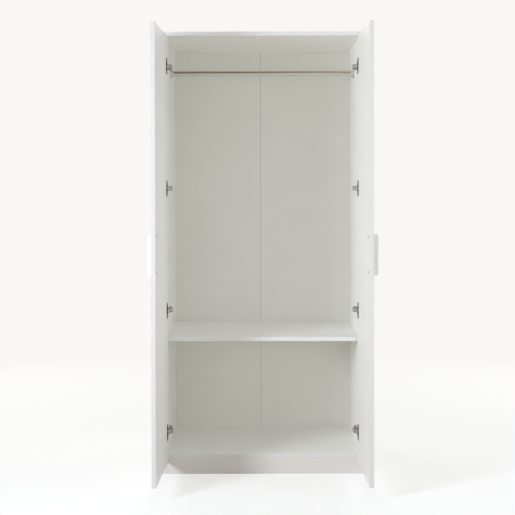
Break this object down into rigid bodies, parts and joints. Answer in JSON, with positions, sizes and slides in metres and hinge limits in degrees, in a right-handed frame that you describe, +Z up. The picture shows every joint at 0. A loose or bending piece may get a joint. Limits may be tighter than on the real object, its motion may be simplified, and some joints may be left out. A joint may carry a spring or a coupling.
{
  "type": "wardrobe",
  "caption": "Tall white wardrobe with two hinged doors on concealed hinges, a hanging rail, a full-depth shelf, a plinth and a thin two-part back.",
  "frame": {"origin": "on the floor, in the middle of the plinth's underside", "axes": "+X to the right as seen from the front, +Y to the back, +Z up"},
  "size_m": [0.8352, 0.908, 1.75],
  "materials": {
    "coated_board": "white melamine on particle board, fine matt grain",
    "edging": "white plastic edging, smooth satin",
    "back_sheet": "white painted thin fibreboard, smooth satin",
    "white_plastic": "white moulded plastic",
    "handle_plastic": "white satin moulded plastic",
    "chrome_rail": "bright chrome-plated steel tube",
    "socket_metal": "nickel-plated die casting",
    "hinge_steel": "nickel-plated pressed steel",
    "pin_steel": "plain steel pins",
    "screw_steel": "zinc-plated screws",
    "fitting_zinc": "die-cast zinc cams",
    "bolt_steel": "zinc-plated cam bolts",
    "nail_steel": "bright wire nails",
    "beech": "plain beech"
  },
  "bodies": {
    "carcass": {"left_side_panel": "coated_board", "right_side_panel": "coated_board", "top_panel": "coated_board", "bottom_panel": "coated_board", "middle_shelf": "coated_board", "plinth": "coated_board", "carcass_edge_bands": "edging", "left_back_panel": "back_sheet", "right_back_panel": "back_sheet", "back_joining_strip": "white_plastic", "back_panel_nails": "nail_steel", "cam_locks": "fitting_zinc", "cam_bolts": "bolt_steel", "cam_cover_caps": "white_plastic", "wooden_dowels": "beech", "hanging_rail": "chrome_rail", "left_rail_socket": "socket_metal", "right_rail_socket": "socket_metal", "rail_socket_screws": "screw_steel", "left_hinge_arms": "hinge_steel", "left_hinge_arm_pins": "pin_steel", "left_hinge_arm_screws": "screw_steel", "left_mounting_plates": "hinge_steel", "left_mounting_plate_screws": "screw_steel", "right_hinge_arms": "hinge_steel", "right_hinge_arm_pins": "pin_steel", "right_hinge_arm_screws": "screw_steel", "right_mounting_plates": "hinge_steel", "right_mounting_plate_screws": "screw_steel"},
    "left_door": {"left_door": "coated_board", "left_door_edge_bands": "edging", "left_handle": "handle_plastic", "left_handle_screws": "screw_steel", "left_hinge_cups": "hinge_steel", "left_hinge_cup_screws": "screw_steel", "left_hinge_cup_pins": "pin_steel"},
    "left_outer_links": {"left_outer_links": "hinge_steel"},
    "left_inner_links": {"left_inner_links": "hinge_steel"},
    "right_door": {"right_door": "coated_board", "right_door_edge_bands": "edging", "right_handle": "handle_plastic", "right_handle_screws": "screw_steel", "right_hinge_cups": "hinge_steel", "right_hinge_cup_screws": "screw_steel", "right_hinge_cup_pins": "pin_steel"},
    "right_outer_links": {"right_outer_links": "hinge_steel"},
    "right_inner_links": {"right_inner_links": "hinge_steel"}
  },
  "joints": [
    {"name": "left_door_swing", "type": "hinge", "parent": "left_outer_links", "child": "left_door", "pos_m": [-0.37774, -0.02806, 0.893], "axis": [0, 0, -1], "range_deg": [-124.3, 4.08]},
    {"name": "left_outer_link_turn", "type": "hinge", "parent": "carcass", "child": "left_outer_links", "pos_m": [-0.3605, -0.005, 0.893], "axis": [0, 0, -1], "range_deg": [-1.58, 33.4]},
    {"name": "left_inner_link_turn", "type": "hinge", "parent": "carcass", "child": "left_inner_links", "pos_m": [-0.3675, -0.0095, 0.893], "axis": [0, 0, -1], "range_deg": [-1.17, 20.79]},
    {"name": "right_door_swing", "type": "hinge", "parent": "right_outer_links", "child": "right_door", "pos_m": [0.37774, -0.02806, 0.893], "axis": [0, 0, 1], "range_deg": [-124.3, 4.08]},
    {"name": "right_outer_link_turn", "type": "hinge", "parent": "carcass", "child": "right_outer_links", "pos_m": [0.3605, -0.005, 0.893], "axis": [0, 0, 1], "range_deg": [-1.58, 33.4]},
    {"name": "right_inner_link_turn", "type": "hinge", "parent": "carcass", "child": "right_inner_links", "pos_m": [0.3675, -0.0095, 0.893], "axis": [0, 0, 1], "range_deg": [-1.17, 20.79]}
  ],
  "couplings": [
    {"joint": "left_outer_link_turn", "follows": "left_door_swing", "ratio": -0.26471},
    {"joint": "left_inner_link_turn", "follows": "left_door_swing", "ratio": -0.16323},
    {"joint": "right_outer_link_turn", "follows": "right_door_swing", "ratio": -0.26471},
    {"joint": "right_inner_link_turn", "follows": "right_door_swing", "ratio": -0.16323}
  ]
}
